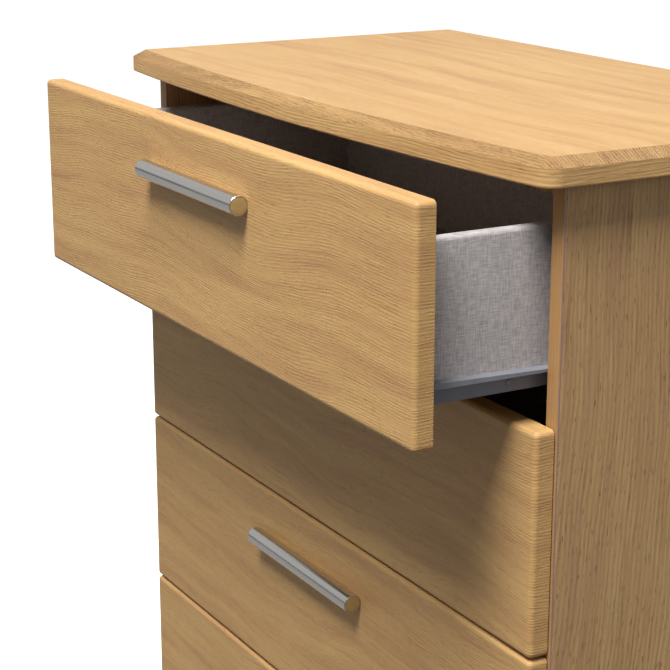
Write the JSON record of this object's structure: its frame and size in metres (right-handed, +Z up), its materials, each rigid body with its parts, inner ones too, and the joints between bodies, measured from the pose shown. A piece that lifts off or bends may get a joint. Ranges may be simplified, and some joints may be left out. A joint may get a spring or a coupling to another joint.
{
  "type": "chest of drawers",
  "caption": "Tall chest of drawers in pale oak effect, with a bow-fronted bevelled top, flat overlay fronts with bar handles, and linen-lined drawer boxes on roller runners.",
  "frame": {"origin": "on the floor, in the middle of the underside of the plinth board", "axes": "+X to the right seen from the front, +Y to the back, +Z up"},
  "size_m": [0.765, 0.5179, 1.075],
  "materials": {
    "oak_foil": "oak-effect foil, satin, embossed grain",
    "oak_board": "oak-effect faced chipboard, satin",
    "edge_band": "plain oak-coloured edging, satin",
    "chipboard": "raw chipboard, matt",
    "hardboard": "brown hardboard, matt",
    "hardboard_linen": "linen-effect faced hardboard, matt",
    "linen_board": "linen-effect foil on board, matt",
    "handle_metal": "satin plated bar",
    "zinc_steel": "bright zinc plate",
    "runner_steel": "blue-grey epoxy coat, satin",
    "nylon": "moulded white nylon"
  },
  "bodies": {
    "carcass": {"top_panel": "oak_foil", "right_side_panel": "oak_board", "left_side_panel": "oak_board", "side_edge_bands": "edge_band", "back_panel": "hardboard", "base_panel": "oak_board", "plinth_board": "oak_board", "front_top_rail": "chipboard", "back_top_rail": "chipboard", "cabinet_runners": "runner_steel"},
    "drawer_1": {"drawer_1_front": "oak_foil", "drawer_1_right_side": "linen_board", "drawer_1_left_side": "linen_board", "drawer_1_back": "linen_board", "drawer_1_bottom": "hardboard_linen", "drawer_1_handle": "handle_metal", "drawer_1_handle_screws": "zinc_steel", "drawer_1_runners": "runner_steel"},
    "drawer_1_rear_rollers": {"drawer_1_rear_rollers": "nylon"},
    "drawer_1_cabinet_rollers": {"drawer_1_cabinet_rollers": "nylon"},
    "drawer_2": {"drawer_2_front": "oak_foil", "drawer_2_right_side": "linen_board", "drawer_2_left_side": "linen_board", "drawer_2_back": "linen_board", "drawer_2_bottom": "hardboard_linen", "drawer_2_handle": "handle_metal", "drawer_2_handle_screws": "zinc_steel", "drawer_2_runners": "runner_steel"},
    "drawer_2_rear_rollers": {"drawer_2_rear_rollers": "nylon"},
    "drawer_2_cabinet_rollers": {"drawer_2_cabinet_rollers": "nylon"},
    "drawer_3": {"drawer_3_front": "oak_foil", "drawer_3_right_side": "linen_board", "drawer_3_left_side": "linen_board", "drawer_3_back": "linen_board", "drawer_3_bottom": "hardboard_linen", "drawer_3_handle": "handle_metal", "drawer_3_handle_screws": "zinc_steel", "drawer_3_runners": "runner_steel"},
    "drawer_3_rear_rollers": {"drawer_3_rear_rollers": "nylon"},
    "drawer_3_cabinet_rollers": {"drawer_3_cabinet_rollers": "nylon"},
    "drawer_4": {"drawer_4_front": "oak_foil", "drawer_4_right_side": "linen_board", "drawer_4_left_side": "linen_board", "drawer_4_back": "linen_board", "drawer_4_bottom": "hardboard_linen", "drawer_4_handle": "handle_metal", "drawer_4_handle_screws": "zinc_steel", "drawer_4_runners": "runner_steel"},
    "drawer_4_rear_rollers": {"drawer_4_rear_rollers": "nylon"},
    "drawer_4_cabinet_rollers": {"drawer_4_cabinet_rollers": "nylon"},
    "drawer_5": {"drawer_5_front": "oak_foil", "drawer_5_right_side": "linen_board", "drawer_5_left_side": "linen_board", "drawer_5_back": "linen_board", "drawer_5_bottom": "hardboard_linen", "drawer_5_handle": "handle_metal", "drawer_5_handle_screws": "zinc_steel", "drawer_5_runners": "runner_steel"},
    "drawer_5_rear_rollers": {"drawer_5_rear_rollers": "nylon"},
    "drawer_5_cabinet_rollers": {"drawer_5_cabinet_rollers": "nylon"}
  },
  "joints": [
    {"name": "drawer_1_slide", "type": "slide", "parent": "carcass", "child": "drawer_1", "axis": [0, -1, 0], "range_m": [-0.1115, 0.1485]},
    {"name": "drawer_1_rear_roller_spin", "type": "hinge", "parent": "drawer_1", "child": "drawer_1_rear_rollers", "pos_m": [0, 0.192, 0.8905], "axis": [1, 0, 0], "continuous": true},
    {"name": "drawer_1_cabinet_roller_spin", "type": "hinge", "parent": "carcass", "child": "drawer_1_cabinet_rollers", "pos_m": [0, 0.0015, 0.8941], "axis": [1, 0, 0], "continuous": true},
    {"name": "drawer_2_slide", "type": "slide", "parent": "carcass", "child": "drawer_2", "axis": [0, -1, 0], "range_m": [0, 0.26]},
    {"name": "drawer_2_rear_roller_spin", "type": "hinge", "parent": "drawer_2", "child": "drawer_2_rear_rollers", "pos_m": [0, 0.3035, 0.6975], "axis": [1, 0, 0], "continuous": true},
    {"name": "drawer_2_cabinet_roller_spin", "type": "hinge", "parent": "carcass", "child": "drawer_2_cabinet_rollers", "pos_m": [0, 0.0015, 0.7011], "axis": [1, 0, 0], "continuous": true},
    {"name": "drawer_3_slide", "type": "slide", "parent": "carcass", "child": "drawer_3", "axis": [0, -1, 0], "range_m": [0, 0.26]},
    {"name": "drawer_3_rear_roller_spin", "type": "hinge", "parent": "drawer_3", "child": "drawer_3_rear_rollers", "pos_m": [0, 0.3035, 0.5045], "axis": [1, 0, 0], "continuous": true},
    {"name": "drawer_3_cabinet_roller_spin", "type": "hinge", "parent": "carcass", "child": "drawer_3_cabinet_rollers", "pos_m": [0, 0.0015, 0.5081], "axis": [1, 0, 0], "continuous": true},
    {"name": "drawer_4_slide", "type": "slide", "parent": "carcass", "child": "drawer_4", "axis": [0, -1, 0], "range_m": [0, 0.26]},
    {"name": "drawer_4_rear_roller_spin", "type": "hinge", "parent": "drawer_4", "child": "drawer_4_rear_rollers", "pos_m": [0, 0.3035, 0.3115], "axis": [1, 0, 0], "continuous": true},
    {"name": "drawer_4_cabinet_roller_spin", "type": "hinge", "parent": "carcass", "child": "drawer_4_cabinet_rollers", "pos_m": [0, 0.0015, 0.3151], "axis": [1, 0, 0], "continuous": true},
    {"name": "drawer_5_slide", "type": "slide", "parent": "carcass", "child": "drawer_5", "axis": [0, -1, 0], "range_m": [0, 0.26]},
    {"name": "drawer_5_rear_roller_spin", "type": "hinge", "parent": "drawer_5", "child": "drawer_5_rear_rollers", "pos_m": [0, 0.3035, 0.1185], "axis": [1, 0, 0], "continuous": true},
    {"name": "drawer_5_cabinet_roller_spin", "type": "hinge", "parent": "carcass", "child": "drawer_5_cabinet_rollers", "pos_m": [0, 0.0015, 0.1221], "axis": [1, 0, 0], "continuous": true}
  ],
  "couplings": [
    {"joint": "drawer_1_rear_roller_spin", "follows": "drawer_1_slide", "rad_per_m": 125},
    {"joint": "drawer_1_cabinet_roller_spin", "follows": "drawer_1_slide", "rad_per_m": 125},
    {"joint": "drawer_2_rear_roller_spin", "follows": "drawer_2_slide", "rad_per_m": 125},
    {"joint": "drawer_2_cabinet_roller_spin", "follows": "drawer_2_slide", "rad_per_m": 125},
    {"joint": "drawer_3_rear_roller_spin", "follows": "drawer_3_slide", "rad_per_m": 125},
    {"joint": "drawer_3_cabinet_roller_spin", "follows": "drawer_3_slide", "rad_per_m": 125},
    {"joint": "drawer_4_rear_roller_spin", "follows": "drawer_4_slide", "rad_per_m": 125},
    {"joint": "drawer_4_cabinet_roller_spin", "follows": "drawer_4_slide", "rad_per_m": 125},
    {"joint": "drawer_5_rear_roller_spin", "follows": "drawer_5_slide", "rad_per_m": 125},
    {"joint": "drawer_5_cabinet_roller_spin", "follows": "drawer_5_slide", "rad_per_m": 125}
  ]
}
